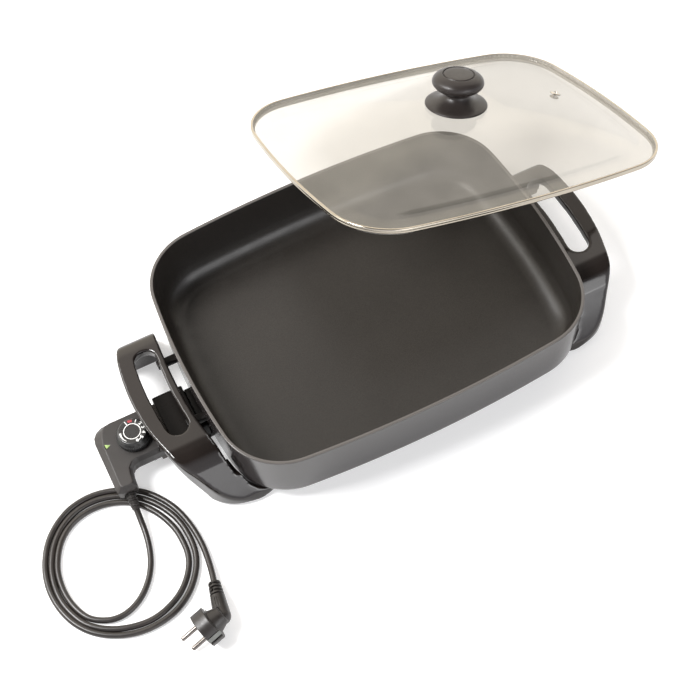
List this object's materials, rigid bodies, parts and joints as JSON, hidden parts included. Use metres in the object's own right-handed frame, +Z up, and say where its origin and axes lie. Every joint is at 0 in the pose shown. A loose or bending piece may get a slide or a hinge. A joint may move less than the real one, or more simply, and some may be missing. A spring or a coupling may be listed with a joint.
{
  "type": "electric skillet",
  "caption": "Rectangular electric skillet: deep non-stick pan on two footed handles, loose domed glass lid leaning on it, plug-in thermostat control with dial, coiled cord and angled plug.",
  "frame": {"origin": "on the table top, under the middle of the pan", "axes": "+Z up; +X along the pan's long side, away from the plug-in control; +Y to the side on which the lid leans"},
  "size_m": [0.8113, 0.5433, 0.1738],
  "materials": {
    "nonstick_cast_aluminium": "cast aluminium under a satin dark grey non-stick coating",
    "element_sheath": "dull oxidised steel sheath",
    "pin_steel": "plain steel",
    "screw_steel": "zinc plated steel",
    "ceramic": "unglazed white ceramic",
    "glossy_phenolic": "glossy black-brown phenolic moulding",
    "matte_phenolic": "matte dark grey-brown phenolic moulding",
    "rubber_black": "black rubber",
    "lid_steel": "satin stainless steel",
    "silicone": "translucent grey silicone",
    "lid_glass": "clear tempered glass, glossy",
    "control_plastic": "matte dark brown-grey moulded plastic",
    "dial_plastic": "satin black moulded plastic with white marks",
    "lamp_green": "translucent green",
    "lamp_glass": "clear glass",
    "cord_rubber": "satin brown-black cord sheath",
    "plug_rubber": "satin brown-black moulded plug",
    "copper_wire": "insulated wires"
  },
  "bodies": {
    "base": {"pan_body": "nonstick_cast_aluminium", "heating_element": "element_sheath", "terminal_pins": "pin_steel", "ceramic_beads": "ceramic", "inlet_housing": "glossy_phenolic", "inlet_screws": "screw_steel", "handle_left": "glossy_phenolic", "handle_right": "glossy_phenolic", "handle_screws": "screw_steel", "foot_pads": "rubber_black"},
    "lid": {"lid_band": "lid_steel", "lid_gasket": "silicone", "lid_glass": "lid_glass", "vent_eyelet": "lid_steel", "knob_body": "matte_phenolic", "knob_cap": "matte_phenolic", "knob_insert": "screw_steel", "knob_seal": "silicone", "knob_washer": "lid_steel", "knob_screw": "screw_steel"},
    "control_unit": {"control_housing_top": "control_plastic", "control_housing_bottom": "control_plastic", "housing_screws": "screw_steel", "indicator_lens": "lamp_green", "neon_lamp": "lamp_glass", "connector_block": "matte_phenolic", "contact_sockets": "pin_steel", "probe_rod": "pin_steel", "thermostat_switch": "screw_steel", "internal_wires": "copper_wire", "strain_relief": "plug_rubber", "cord_inner_end": "cord_rubber", "cord_clamp": "screw_steel", "supply_cord_lead": "cord_rubber", "supply_cord_coil": "cord_rubber", "supply_cord_tail": "cord_rubber", "plug_body": "plug_rubber", "plug_pins": "pin_steel", "plug_earth_clips": "pin_steel"},
    "dial": {"temperature_dial": "dial_plastic", "dial_shaft": "screw_steel"}
  },
  "joints": [
    {"name": "lid_lift", "type": "slide", "parent": "base", "child": "lid", "axis": [0, 0, 1], "range_m": [0, 0.15]},
    {"name": "control_pull", "type": "slide", "parent": "base", "child": "control_unit", "axis": [-1, 0, 0], "range_m": [0, 0.12]},
    {"name": "dial_turn", "type": "hinge", "parent": "control_unit", "child": "dial", "pos_m": [-0.281, -0.0205, 0.035], "axis": [0, 0, 1], "range_deg": [-270, 0]}
  ]
}
